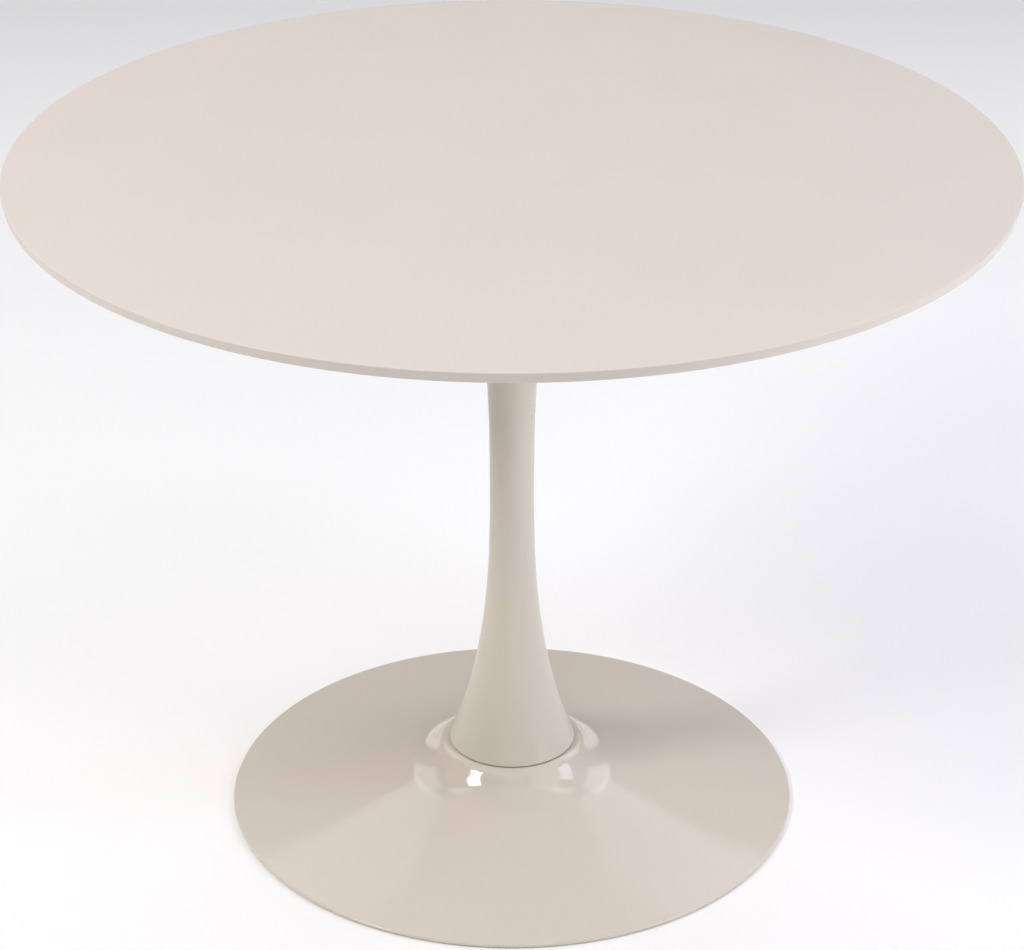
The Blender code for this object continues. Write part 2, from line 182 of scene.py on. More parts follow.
def done(piece, material, slot, *nodes):
    """Settles a piece at the origin with its finish, and hands it to the frame."""
    if bpy.context.mode != "OBJECT":
        bpy.ops.object.mode_set(mode="OBJECT")
    bpy.ops.object.select_all(action="DESELECT")
    piece.select_set(True)
    bpy.context.view_layer.objects.active = piece
    bpy.ops.object.transform_apply(location=True, rotation=True, scale=True)
    bpy.ops.object.shade_smooth_by_angle(angle=SMOOTH_ANGLE)
    piece.data.materials.clear()
    piece.data.materials.append(material)
    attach(piece, "root")
    if nodes:
        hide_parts(*nodes)


def carve(piece, cutter, operation="DIFFERENCE"):
    """Takes one solid out of another, or keeps only what they share, and drops the cutter."""
    bpy.ops.object.mode_set(mode="OBJECT")
    bpy.ops.object.select_all(action="DESELECT")
    bpy.context.view_layer.objects.active = piece
    piece.select_set(True)
    modifier = piece.modifiers.new("cut", "BOOLEAN")
    modifier.operation = operation
    modifier.object = cutter
    bpy.ops.object.modifier_apply(modifier=modifier.name)
    bpy.data.objects.remove(cutter)


def middle(node):
    low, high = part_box(node)
    return (low + high) / 2


sharp_radius = board_radius + BAND_LEAN * BOARD_ARRIS / BAND_HEIGHT
board = start("table_board", bpy.ops.mesh.primitive_cylinder_add, vertices=BOARD_SEGMENTS,
              radius=sharp_radius, depth=BAND_HEIGHT,
              location=(0, 0, board_high.z - BAND_HEIGHT / 2))
bpy.ops.object.mode_set(mode="OBJECT")
bpy.ops.object.transform_apply(location=True)
bpy.ops.object.mode_set(mode="EDIT")
band_foot = board_high.z - BAND_HEIGHT
pick("faces", lambda point: near(point.z, band_foot))
lean = (board_radius - BAND_LEAN) / sharp_radius
bpy.ops.transform.resize(value=(lean, lean, 1), center_override=(0, 0, band_foot))
bpy.ops.mesh.inset(thickness=UNDERCUT_WIDTH - BAND_LEAN)
bpy.ops.transform.translate(value=(0, 0, board_low.z - band_foot))
for level, radius, width, steps in ((board_high.z, sharp_radius, BOARD_ARRIS, 8),
                                    (band_foot, board_radius - BAND_LEAN, BAND_FOOT_ARRIS, 4),
                                    (board_low.z, board_radius - UNDERCUT_WIDTH,
                                     UNDERSIDE_ARRIS, 3)):
    pick("edges", lambda point: near(point.z, level) and near(across(point), radius))
    bpy.ops.mesh.bevel(offset=width, segments=steps, profile=0.5, affect="EDGES")
for level in (board_high.z, board_low.z):
    pick("faces", lambda point: near(point.z, level, 1e-6) and across(point) < board_radius / 2)
    bpy.ops.mesh.inset(thickness=SUPPORT_WIDTH)

for number in range(1, INSERT_COUNT + 1):
    spot = middle(f"threaded_insert_{number}")
    drill = start("insert_drill", bpy.ops.mesh.primitive_cylinder_add, vertices=DRILL_SEGMENTS,
                  radius=INSERT_HOLE_RADIUS, depth=2 * INSERT_HOLE_DEPTH,
                  location=(spot.x, spot.y, board_low.z))
    carve(board, drill)
done(board, lacquer("satin_lacquer", (0.740, 0.668, 0.610), (0.710, 0.635, 0.572),
                    roughness=0.42, peel_depth=0.000012, peel_scale=900.0),
     "board_lacquer", "tabletop")

# ---- Threaded inserts -------------------------------------------------------------------
# Eight knurled brass bushes pressed into the board, one over each hole of the plate. The
# plate hides them once the table is together.

brass = Finish("turned_brass", IOR=1.45, Metallic=1.0)
turning = brass.noise(60.0, 3.0, brass.stretched((1.0, 1.0, 40.0)))
brass.feed("Base Color", brass.blend(brass.noise(300.0, 3.0), (0.78, 0.57, 0.27),
                                     (0.62, 0.42, 0.18)))
brass.feed("Roughness", turning * 0.25 + 0.20)
brass.bump(turning, 0.00002)
for number in range(1, INSERT_COUNT + 1):
    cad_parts[f"threaded_insert_{number}"].data.materials.clear()
    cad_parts[f"threaded_insert_{number}"].data.materials.append(brass.material)

# ---- Mounting plate ---------------------------------------------------------------------
# A 4 mm laser-cut steel disc with its edges broken, blasted and powder coated black, with
# eight clearance holes for the screws that hold it up against the board.

plate_low, plate_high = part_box("mounting_plate")
PLATE_SEGMENTS = 128
PLATE_ARRIS = 0.0008
SCREW_HOLE_RADIUS = 0.0036
PLATE_DRILL_LENGTH = 0.02
SKIN_SHARE = 0.9                 # beyond this share of a radius a point is on the outside

powder = Finish("black_powder_coat", IOR=1.50)
grit = powder.noise(1500.0, 2.0)
powder.feed("Base Color", powder.blend(powder.noise(25.0, 4.0) * 0.6 + grit * 0.4,
                                       (0.012, 0.012, 0.013), (0.030, 0.029, 0.029)))
powder.feed("Roughness", grit * 0.25 + 0.42)
powder.bump(grit * 0.7 + powder.noise(500.0, 1.0) * 0.3, 0.00012)

plate = start("top_plate", bpy.ops.mesh.primitive_cylinder_add, vertices=PLATE_SEGMENTS,
              radius=plate_high.x, depth=plate_high.z - plate_low.z,
              location=middle("mounting_plate"))
pick("edges", lambda point: across(point) > plate_high.x * SKIN_SHARE and abs(point.z) > 0.001)
bpy.ops.mesh.bevel(offset=PLATE_ARRIS, segments=3, profile=0.5, affect="EDGES")
pick("faces", lambda point: across(point) < plate_high.x / 2)
bpy.ops.mesh.inset(thickness=PLATE_ARRIS)
for number in range(1, INSERT_COUNT + 1):
    spot = middle(f"threaded_insert_{number}")
    drill = start("plate_drill", bpy.ops.mesh.primitive_cylinder_add, vertices=DRILL_SEGMENTS,
                  radius=SCREW_HOLE_RADIUS, depth=PLATE_DRILL_LENGTH,
                  location=(spot.x, spot.y, plate_low.z))
    carve(plate, drill)
done(plate, powder.material, "plate_paint", "mounting_plate")

# ---- Rod socket, its lock nut and the column's rings ------------------------------------
# Plain turned and laser-cut steel, welded and left as it comes: the socket under the plate,
# the lock nut against it, and the two rings that centre the column. The column hides them.

mill = Finish("mill_steel", IOR=1.45, Metallic=1.0)
scale = mill.noise(45.0, 5.0)
mill.feed("Base Color", mill.blend(scale, (0.30, 0.30, 0.31), (0.16, 0.155, 0.155)))
mill.feed("Roughness", scale * 0.3 + 0.32)
mill.bump(mill.noise(700.0, 3.0), 0.00004)

zinc = Finish("zinc_plate", IOR=1.45, Metallic=1.0)
spangle = zinc.noise(260.0, 3.0)
zinc.feed("Base Color", zinc.blend(spangle, (0.66, 0.68, 0.70), (0.48, 0.49, 0.51)))
zinc.feed("Roughness", zinc.noise(90.0, 3.0) * 0.22 + 0.20)
zinc.bump(spangle, 0.00001)

for node, material in (("rod_socket", mill), ("column_head_ring", mill),
                       ("column_foot_ring", mill), ("rod_jam_nut", zinc)):
    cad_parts[node].data.materials.clear()
    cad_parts[node].data.materials.append(material.material)

# ---- Screws through the plate -----------------------------------------------------------
# Eight button-head socket screws, zinc plated, run up through the plate into the inserts.

screw_low, screw_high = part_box("top_screw_1")
screw_spot = middle("top_screw_1")
SCREW_HEAD_RADIUS = 0.0058
SCREW_HEAD_HEIGHT = 0.0033
SCREW_FACE_RADIUS = 0.0029      # flat round the socket
SCREW_SHANK_RADIUS = 0.0030
SCREW_PITCH = 0.001
SCREW_PLAIN_LENGTH = 0.002      # unthreaded shank under the head
KEY_RADIUS = 0.0023
KEY_DEPTH = 0.0019
THREAD_STEPS = 6                # rings of points in one pitch
THREAD_DEPTH = 0.6              # as a share of the pitch
SCREW_SEGMENTS = 24
SCREW_DOME_STEPS = 8
SEED_SIZE = 0.0005              # a turned outline starts as a plane merged to one point
MERGE_DISTANCE = 0.000005


def turn(name, outline, steps, angle=math.tau):
    """A piece spun about the table's axis from an outline of (radius, height) points.

    An outline that ends where it starts makes a closed ring.
    """
    piece = start(name, bpy.ops.mesh.primitive_plane_add, size=SEED_SIZE)
    bpy.ops.mesh.select_mode(type="VERT")
    bpy.ops.mesh.select_all(action="SELECT")
    bpy.ops.mesh.merge(type="CENTER")
    here = (0.0, 0.0)
    for number, there in enumerate(outline):
        step = {"value": (there[0] - here[0], 0, there[1] - here[1])}
        if number:
            bpy.ops.mesh.extrude_vertices_move(TRANSFORM_OT_translate=step)
        else:
            bpy.ops.transform.translate(**step)
        here = there
    bpy.ops.mesh.select_all(action="SELECT")
    bpy.ops.mesh.spin(steps=steps, angle=angle, center=(0, 0, 0), axis=(0, 0, 1))
    bpy.ops.mesh.select_all(action="SELECT")
    bpy.ops.mesh.remove_doubles(threshold=MERGE_DISTANCE)
    if angle < math.tau:
        bpy.ops.mesh.select_all(action="SELECT")
        bpy.ops.mesh.fill_holes(sides=0)
    bpy.ops.mesh.select_all(action="SELECT")
    bpy.ops.mesh.normals_make_consistent(inside=False)
    return piece


def rounded(centre, radius, first, last, steps):
    """Points of an arc; an angle is measured from straight up, outwards."""
    turns = [first + (last - first) * step / steps for step in range(steps + 1)]
    return [(centre[0] + radius * math.sin(a), centre[1] + radius * math.cos(a)) for a in turns]


def thread(piece, crest, pitch, low, high):
    """Moves a rod's skin in and out along a helix, fading out at the upper end."""
    bpy.ops.object.mode_set(mode="OBJECT")
    depth = THREAD_DEPTH * pitch
    for vert in piece.data.vertices:
        reach = across(vert.co)
        if reach > crest * SKIN_SHARE and low < vert.co.z < high:
            phase = (vert.co.z / pitch - math.atan2(vert.co.y, vert.co.x) / math.tau) % 1.0
            valley = abs(2.0 * phase - 1.0)
            fade = min(1.0, (high - vert.co.z) / pitch)
            share = 1.0 - depth * valley * fade / crest
            vert.co.x *= share
            vert.co.y *= share
    bpy.ops.object.mode_set(mode="EDIT")


def ladder(radius, low, high, step):
    """Points up a straight side, about a step apart."""
    count = max(1, round((high - low) / step))
    return [(radius, low + (high - low) * number / count) for number in range(count + 1)]


def set_out(piece, nodes, name, material, slot, middle_now):
    """Copies a finished shape to each node's place, each copy with its own mesh."""
    if bpy.context.mode != "OBJECT":
        bpy.ops.object.mode_set(mode="OBJECT")
    for number, node in enumerate(nodes, 1):
        bpy.ops.object.select_all(action="DESELECT")
        piece.select_set(True)
        bpy.context.view_layer.objects.active = piece
        bpy.ops.object.transform_apply(location=True)
        bpy.ops.object.duplicate(linked=False)
        copy = bpy.context.object
        copy.name = copy.data.name = f"{name}_{number}"
        spot = middle(node)
        copy.rotation_euler.z = math.atan2(spot.y, spot.x)
        copy.location = (spot.x, spot.y, spot.z - middle_now)
        done(copy, material, slot, node)
    bpy.data.objects.remove(piece)


head_top = screw_low.z + SCREW_HEAD_HEIGHT
dome_width = SCREW_HEAD_RADIUS - SCREW_FACE_RADIUS
dome = [(radius, head_top + (height - head_top) * SCREW_HEAD_HEIGHT / dome_width)
        for radius, height in rounded((SCREW_FACE_RADIUS, head_top), dome_width, math.pi,
                                      math.pi / 2, SCREW_DOME_STEPS)]
shank = ladder(SCREW_SHANK_RADIUS, head_top, screw_high.z, SCREW_PITCH / THREAD_STEPS)
screw = turn("screw", [(0.0, screw_low.z), *dome, *shank, (0.0, screw_high.z)],
             SCREW_SEGMENTS)
thread(screw, SCREW_SHANK_RADIUS, SCREW_PITCH, head_top + SCREW_PLAIN_LENGTH,
       screw_high.z + SCREW_PITCH)
key = start("key", bpy.ops.mesh.primitive_cylinder_add, vertices=6, radius=KEY_RADIUS,
            depth=2 * KEY_DEPTH, location=(0, 0, screw_low.z))
carve(screw, key)
set_out(screw, [f"top_screw_{number}" for number in range(1, INSERT_COUNT + 1)], "button_screw",
        zinc.material, "zinc_steel", screw_spot.z)

# ---- Column -----------------------------------------------------------------------------
# A trumpet spun from 2 mm steel tube: a narrow waist a little above half way, flared to the
# plate above and wider to the foot below, sprayed with the same cream lacquer, half gloss.

column_low, column_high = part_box("column_shell")
COLUMN_SEGMENTS = 192
COLUMN_STEPS = 96
COLUMN_WALL = 0.0020
COLUMN_ARRIS = 0.0005
ARRIS_MIDDLE = 0.3               # a rounded edge's middle point lies in by this share
HEAD_RADIUS = 0.056
WAIST_RADIUS = 0.0237
WAIST_HEIGHT = 0.390
FOOT_RADIUS = 0.069
HEAD_FLARE = 2.3
FOOT_FLARE = 2.8
SLOPE_REACH = 0.0005             # heights this far apart give the wall's slope


def column_radius(height):
    end, radius, flare = column_high.z, HEAD_RADIUS, HEAD_FLARE
    if height < WAIST_HEIGHT:
        end, radius, flare = column_low.z, FOOT_RADIUS, FOOT_FLARE
    return WAIST_RADIUS + (radius - WAIST_RADIUS) * ((height - WAIST_HEIGHT)
                                                     / (end - WAIST_HEIGHT)) ** flare


def column_bore(height):
    rise = column_radius(height + SLOPE_REACH) - column_radius(height - SLOPE_REACH)
    slope = rise / (2 * SLOPE_REACH)
    return column_radius(height) - COLUMN_WALL * math.hypot(1.0, slope)


lowest = column_low.z + COLUMN_ARRIS
highest = column_high.z - COLUMN_ARRIS
rungs = [lowest + (highest - lowest) * step / COLUMN_STEPS for step in range(COLUMN_STEPS + 1)]
outside = [(column_radius(height), height) for height in rungs]
inside = [(column_bore(height), height) for height in rungs[::-1]]
eased = COLUMN_ARRIS * ARRIS_MIDDLE
head_rim = [(column_radius(highest) - eased, column_high.z - eased),
            (column_radius(highest) - COLUMN_ARRIS, column_high.z),
            (column_bore(highest) + COLUMN_ARRIS, column_high.z)]
foot_rim = [(column_bore(lowest) + COLUMN_ARRIS, column_low.z),
            (column_radius(lowest) - COLUMN_ARRIS, column_low.z),
            (column_radius(lowest) - eased, column_low.z + eased)]
column = turn("trumpet_column", [*outside, *head_rim, *inside, *foot_rim, outside[0]],
              COLUMN_SEGMENTS)
done(column, lacquer("half_gloss_lacquer", (0.700, 0.650, 0.560), (0.670, 0.618, 0.524),
                     roughness=0.30, peel_depth=0.000012, peel_scale=600.0),
     "column_lacquer", "column_shell")

# ---- Seal under the column --------------------------------------------------------------
# A thin ring of brownish grey rubber between the column's lower edge and the crown of the
# foot. It is set back a little from the column's edge, and shows only as a fine line.

seal_low, seal_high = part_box("column_seal")
SEAL_WIDTH = 0.010
SEAL_ARRIS = 0.00015

rubber = Finish("seal_rubber", IOR=1.45)
rubber.feed("Base Color", rubber.blend(rubber.noise(200.0, 3.0), (0.300, 0.265, 0.220),
                                       (0.220, 0.195, 0.160)))
rubber.feed("Roughness", rubber.noise(500.0, 2.0) * 0.2 + 0.6)
rubber.bump(rubber.noise(1800.0, 2.0), 0.00005)

seal = turn("column_gasket", [(seal_high.x - SEAL_WIDTH, seal_low.z),
                              (seal_high.x - SEAL_ARRIS, seal_low.z),
                              (seal_high.x, seal_low.z + SEAL_ARRIS),
                              (seal_high.x, seal_high.z - SEAL_ARRIS),
                              (seal_high.x - SEAL_ARRIS, seal_high.z),
                              (seal_high.x - SEAL_WIDTH, seal_high.z),
                              (seal_high.x - SEAL_WIDTH, seal_low.z)], COLUMN_SEGMENTS)
done(seal, rubber.material, "seal_rubber", "column_seal")

# ---- Foot -------------------------------------------------------------------------------
# One sheet of 2 mm steel spun over a former: a flat crown, a rounded shoulder, a short flank
# that sweeps into a flare, and a rolled rim. It carries the same cream lacquer as the rest,
# polished to full gloss.

foot_low, foot_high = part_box("base_shell")
FOOT_SEGMENTS = 288
FOOT_WALL = 0.0020
CROWN_RADIUS = 0.0698
CROWN_HOLE_RADIUS = 0.0434
CROWN_SUPPORTS = (0.004, 0.0005)  # rings this far inside the crown's edge keep it flat
SHOULDER_RADIUS = 0.0130
FLANK_ANGLE = math.radians(52)
FLANK_LENGTH = 0.0065
SWEEP_RADIUS = 0.0650
FLARE_START_ANGLE = math.radians(15.5)
FLARE_POWER = 2.9
SHOULDER_STEPS = 28
SWEEP_STEPS = 20
RIM_STEPS = 12
FLARE_STEP = 0.006
RIM_RADIUS = 0.0020
RIM_LAND = 0.0010

rim_middle = (foot_high.x - RIM_RADIUS, foot_low.z + RIM_RADIUS)
land_radius = rim_middle[0] - RIM_LAND
shoulder = (CROWN_RADIUS, foot_high.z - SHOULDER_RADIUS)
flank_foot = (shoulder[0] + SHOULDER_RADIUS * math.sin(FLANK_ANGLE)
              + FLANK_LENGTH * math.cos(FLANK_ANGLE),
              shoulder[1] + SHOULDER_RADIUS * math.cos(FLANK_ANGLE)
              - FLANK_LENGTH * math.sin(FLANK_ANGLE))
sweep = (flank_foot[0] + SWEEP_RADIUS * math.sin(FLANK_ANGLE),
         flank_foot[1] + SWEEP_RADIUS * math.cos(FLANK_ANGLE))
flare_start = (sweep[0] - SWEEP_RADIUS * math.sin(FLARE_START_ANGLE),
               sweep[1] - SWEEP_RADIUS * math.cos(FLARE_START_ANGLE))
flare_width = rim_middle[0] - flare_start[0]
flare_drop = flare_start[1] - rim_middle[1] - RIM_RADIUS
start_slope = math.tan(FLARE_START_ANGLE)
rim_slope = ((FLARE_POWER + 1) * flare_drop / flare_width - start_slope) / FLARE_POWER


def flare_height(radius, depth):
    """Height of the flare at a depth below its outer skin, measured square to it."""
    outward = rim_middle[0] - radius
    bend = (start_slope - rim_slope) * (outward / flare_width) ** FLARE_POWER
    outer = rim_middle[1] + RIM_RADIUS + outward * (rim_slope + bend / (FLARE_POWER + 1))
    return outer - depth * math.hypot(1.0, rim_slope + bend)


def foot_skin(depth):
    """From the crown's hole out to the rim, at a depth below the outer skin."""
    crown = foot_high.z - depth
    rings = round((land_radius - flare_start[0]) / FLARE_STEP)
    flare = [flare_start[0] + (land_radius - flare_start[0]) * ring / rings
             for ring in range(1, rings + 1)]
    return [(CROWN_HOLE_RADIUS, crown),
            *[(CROWN_RADIUS - inset, crown) for inset in CROWN_SUPPORTS],
            *rounded(shoulder, SHOULDER_RADIUS - depth, 0.0, FLANK_ANGLE, SHOULDER_STEPS),
            *rounded(sweep, -(SWEEP_RADIUS + depth), FLANK_ANGLE, FLARE_START_ANGLE,
                     SWEEP_STEPS),
            *[(radius, flare_height(radius, depth)) for radius in flare]]


rim = rounded(rim_middle, RIM_RADIUS, math.atan(rim_slope), math.pi, RIM_STEPS)
land = (land_radius, foot_low.z)
outer_skin = foot_skin(0.0)
foot = turn("spun_foot", [*outer_skin, *rim, land, *foot_skin(FOOT_WALL)[::-1], outer_skin[0]],
            FOOT_SEGMENTS)
done(foot, lacquer("gloss_lacquer", (0.715, 0.655, 0.575), (0.685, 0.622, 0.537),
                   roughness=0.09, peel_depth=0.000005, peel_scale=260.0),
     "base_lacquer", "base_shell")

# ---- Neck plate -------------------------------------------------------------------------
# A thick steel disc under the crown that spreads the pull of the rod, with a weld run all
# round its edge.

neck_low, neck_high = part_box("neck_plate")
NECK_ARRIS = 0.0006
ROD_HOLE_RADIUS = 0.0066
WELD_RADIUS = 0.0022
WELD_REACH = 0.35                # the bead's middle beyond the plate's edge, in its radii
WELD_DROP = 0.55                 # and below the plate's upper face
WELD_STEPS = 10
WELD_RIPPLES = 120
RIPPLE_SEGMENTS = 4
RIPPLE_DEPTH = 0.00022
RIPPLE_LEAN = 900.0              # radians that a ripple lags in a metre of height

neck = turn("neck_disc", [(ROD_HOLE_RADIUS, neck_low.z),
                          (neck_high.x - NECK_ARRIS, neck_low.z),
                          (neck_high.x, neck_low.z + NECK_ARRIS),
                          (neck_high.x, neck_high.z - NECK_ARRIS),
                          (neck_high.x - NECK_ARRIS, neck_high.z),
                          (ROD_HOLE_RADIUS, neck_high.z),
                          (ROD_HOLE_RADIUS, neck_low.z)], PLATE_SEGMENTS)
done(neck, mill.material, "raw_steel", "neck_plate")

weld_middle = (neck_high.x + WELD_RADIUS * WELD_REACH, neck_high.z - WELD_RADIUS * WELD_DROP)
weld_outline = rounded(weld_middle, WELD_RADIUS, 0.0, math.tau, WELD_STEPS)
weld = turn("neck_weld", weld_outline[:-1] + weld_outline[:1],
            RIPPLE_SEGMENTS * WELD_RIPPLES)
bpy.ops.object.mode_set(mode="OBJECT")
for vert in weld.data.vertices:
    turned_to = math.atan2(vert.co.y, vert.co.x)
    ring_point = Vector((math.cos(turned_to) * weld_middle[0],
                         math.sin(turned_to) * weld_middle[0], weld_middle[1]))
    lag = turned_to * WELD_RIPPLES + RIPPLE_LEAN * (vert.co.z - weld_middle[1])
    share = 1.0 - RIPPLE_DEPTH / WELD_RADIUS * (0.5 + 0.5 * math.cos(lag))
    vert.co = ring_point + (vert.co - ring_point) * share
bpy.ops.object.mode_set(mode="EDIT")
done(weld, mill.material, "raw_steel")

# ---- Tie rod and what clamps it ---------------------------------------------------------
# A 12 mm zinc-plated rod, threaded at its lower end, with a heavy washer, a split spring
# washer and a hexagon nut pulled up against the neck plate.

rod_low, rod_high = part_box("tie_rod")
ROD_RADIUS = 0.0060
ROD_PITCH = 0.00175
ROD_THREAD_LENGTH = 0.022
ROD_CHAMFER = 0.0010
NUT_BORE = 0.0063
WASHER_ARRIS = 0.0004
SPRING_GAP = math.radians(7)
ROD_SEGMENTS = 36
WASHER_SEGMENTS = 96
BARREL_SEGMENTS = 72
SMALL_SEGMENTS = 48              # small washers, pads and bored holes
NUT_CHAMFER = math.radians(30)
TURNED_SHARE = 0.97              # a nut's turned end face, as a share of its flats
CORNER_EASE = 1.002              # the turning only just clears a nut's corners
SINK_SHARE = 0.14                # countersink, as a share of the bore
FACE_CLEARANCE = 0.00001         # the turning stands this far past a nut's faces

threaded = ladder(ROD_RADIUS, rod_low.z + ROD_CHAMFER, rod_low.z + ROD_THREAD_LENGTH,
                  ROD_PITCH / THREAD_STEPS)
rod = turn("clamp_rod", [(0.0, rod_low.z), (ROD_RADIUS - ROD_CHAMFER, rod_low.z), *threaded,
                         (ROD_RADIUS, rod_high.z - ROD_CHAMFER),
                         (ROD_RADIUS - ROD_CHAMFER, rod_high.z), (0.0, rod_high.z)], ROD_SEGMENTS)
thread(rod, ROD_RADIUS, ROD_PITCH, rod_low.z, rod_low.z + ROD_THREAD_LENGTH)
done(rod, zinc.material, "zinc_steel", "tie_rod")


def washer(name, bore, node, arris, steps, angle=math.tau):
    """A flat ring with its edges eased, in a node's box."""
    low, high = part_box(node)
    radius = (high.y - low.y) / 2
    return turn(name, [(bore, low.z + arris), (bore + arris, low.z), (radius - arris, low.z),
                       (radius, low.z + arris), (radius, high.z - arris),
                       (radius - arris, high.z), (bore + arris, high.z),
                       (bore, high.z - arris), (bore, low.z + arris)], steps, angle)


done(washer("rod_flat_washer", ROD_HOLE_RADIUS, "rod_washer", WASHER_ARRIS, WASHER_SEGMENTS),
     zinc.material, "zinc_steel", "rod_washer")
spring = washer("rod_split_washer", ROD_HOLE_RADIUS, "rod_spring_washer", WASHER_ARRIS,
                WASHER_SEGMENTS, math.tau - SPRING_GAP)
bpy.ops.object.mode_set(mode="OBJECT")
spring.rotation_euler.z = SPRING_GAP / 2
done(spring, zinc.material, "zinc_steel", "rod_spring_washer")


def hexagon_nut(name, bore, flats, low, high):
    """A nut about the table's axis, with turned corners and a countersunk bore."""
    flat = flats / 2
    corner = flat / math.cos(math.pi / 6)
    nut = start(name, bpy.ops.mesh.primitive_cylinder_add, vertices=6, radius=corner,
                depth=high - low, location=(0, 0, (low + high) / 2))
    end = flat * TURNED_SHARE
    side = corner * CORNER_EASE
    drop = (corner - end) * math.tan(NUT_CHAMFER)
    bottom, top = low - FACE_CLEARANCE, high + FACE_CLEARANCE
    barrel = turn("barrel", [(0.0, bottom), (end, bottom), (side, low + drop),
                             (side, high - drop), (end, top), (0.0, top)], BARREL_SEGMENTS)
    carve(nut, barrel, "INTERSECT")
    sink = bore * SINK_SHARE
    bit = turn("bit", [(0.0, low - sink), (bore + 2 * sink, low - sink), (bore, low + sink),
                       (bore, high - sink), (bore + 2 * sink, high + sink),
                       (0.0, high + sink)], SMALL_SEGMENTS)
    carve(nut, bit)
    return nut


nut_low, nut_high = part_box("rod_nut")
done(hexagon_nut("rod_hexagon_nut", NUT_BORE, nut_high.x - nut_low.x, nut_low.z, nut_high.z),
     zinc.material, "zinc_steel", "rod_nut")

# ---- Ballast ----------------------------------------------------------------------------
# A grey iron casting under the flare that keeps the table upright. Its top is flat and then
# follows the flare, and four counterbored holes take the studs. It is dipped in dark paint.

ballast_low, ballast_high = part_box("ballast_ring")
BALLAST_SEGMENTS = 192
BALLAST_BORE = 0.150
BALLAST_ARRIS = 0.0006
BALLAST_CLEARANCE = 0.0005
BALLAST_RINGS = 12
STUD_COUNT = 4
STUD_HOLE_RADIUS = 0.0046
POCKET_RADIUS = 0.0110
STUD_HOLE_TOP = 0.06             # well above the casting

iron = Finish("cast_iron", IOR=1.50, Metallic=0.35)
sand = iron.noise(650.0, 4.0)
stains = iron.noise(18.0, 5.0)
iron.feed("Base Color", iron.blend(stains * 0.7 + sand * 0.3, (0.035, 0.034, 0.035),
                                   (0.085, 0.074, 0.066)))
iron.feed("Roughness", sand * 0.3 + 0.55)
iron.bump(sand * 0.7 + iron.noise(120.0, 3.0) * 0.3, 0.0005)

inner = BALLAST_BORE + BALLAST_ARRIS
outer = ballast_high.x - BALLAST_ARRIS
under_skin = FOOT_WALL + BALLAST_CLEARANCE
casting_top = [(radius, min(ballast_high.z, flare_height(radius, under_skin)))
               for radius in [inner + (outer - inner) * ring / BALLAST_RINGS
                              for ring in range(BALLAST_RINGS, -1, -1)]]
casting = turn("ballast_casting",
               [(inner, ballast_low.z), (outer, ballast_low.z),
                (ballast_high.x, ballast_low.z + BALLAST_ARRIS),
                (ballast_high.x, flare_height(ballast_high.x, under_skin) - BALLAST_ARRIS),
                *casting_top, (BALLAST_BORE, ballast_high.z - BALLAST_ARRIS),
                (BALLAST_BORE, ballast_low.z + BALLAST_ARRIS), (inner, ballast_low.z)],
               BALLAST_SEGMENTS)
washer_low, washer_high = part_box("ballast_washer_1")
for number in range(1, STUD_COUNT + 1):
    spot = middle(f"weld_stud_{number}")
    pocket_top = washer_high.z + BALLAST_CLEARANCE
    for radius, top in ((STUD_HOLE_RADIUS, STUD_HOLE_TOP), (POCKET_RADIUS, pocket_top)):
        bit = start("ballast_bit", bpy.ops.mesh.primitive_cylinder_add,
                    vertices=SMALL_SEGMENTS, radius=radius, depth=top,
                    location=(spot.x, spot.y, top / 2))
        carve(casting, bit)
done(casting, iron.material, "cast_iron", "ballast_ring")

# ---- Studs, washers and nuts under the ballast ------------------------------------------
# Four 8 mm studs are welded to the underside of the foot and pass down through the ballast.
# A washer and a thin nut on each, sunk in its pocket, hold the casting up.

stud_low, stud_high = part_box("weld_stud_1")
STUD_RADIUS = 0.0040
STUD_PITCH = 0.00125
STUD_CHAMFER = 0.0005
STUD_BORE = 0.0043
STUD_WASHER_RADIUS = 0.0085
STUD_WASHER_ARRIS = 0.0002
STUD_NUT_FLATS = 0.0130

stud = turn("stud", [(0.0, stud_low.z), (STUD_RADIUS - STUD_CHAMFER, stud_low.z),
                     *ladder(STUD_RADIUS, stud_low.z + STUD_CHAMFER, stud_high.z,
                             STUD_PITCH / THREAD_STEPS), (0.0, stud_high.z)], SCREW_SEGMENTS)
thread(stud, STUD_RADIUS, STUD_PITCH, stud_low.z, stud_high.z - STUD_PITCH)
set_out(stud, [f"weld_stud_{number}" for number in range(1, STUD_COUNT + 1)], "foot_stud",
        mill.material, "raw_steel", (stud_low.z + stud_high.z) / 2)

washer_face = STUD_WASHER_RADIUS - STUD_WASHER_ARRIS
stud_washer = turn("stud_washer", [(STUD_BORE, washer_low.z), (washer_face, washer_low.z),
                                   (STUD_WASHER_RADIUS, washer_low.z + STUD_WASHER_ARRIS),
                                   (STUD_WASHER_RADIUS, washer_high.z - STUD_WASHER_ARRIS),
                                   (washer_face, washer_high.z), (STUD_BORE, washer_high.z),
                                   (STUD_BORE, washer_low.z)], SMALL_SEGMENTS)
set_out(stud_washer, [f"ballast_washer_{number}" for number in range(1, STUD_COUNT + 1)],
        "stud_washer", zinc.material, "zinc_steel", (washer_low.z + washer_high.z) / 2)

nut_low, nut_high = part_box("ballast_nut_1")
stud_nut = hexagon_nut("stud_nut", STUD_BORE, STUD_NUT_FLATS, nut_low.z, nut_high.z)
set_out(stud_nut, [f"ballast_nut_{number}" for number in range(1, STUD_COUNT + 1)],
        "stud_nut", zinc.material, "zinc_steel", (nut_low.z + nut_high.z) / 2)

# ---- Felt pads --------------------------------------------------------------------------
# Eight discs of pressed wool felt stuck to the underside of the ballast. The table stands
# on them, so their cut edges are a little softened.

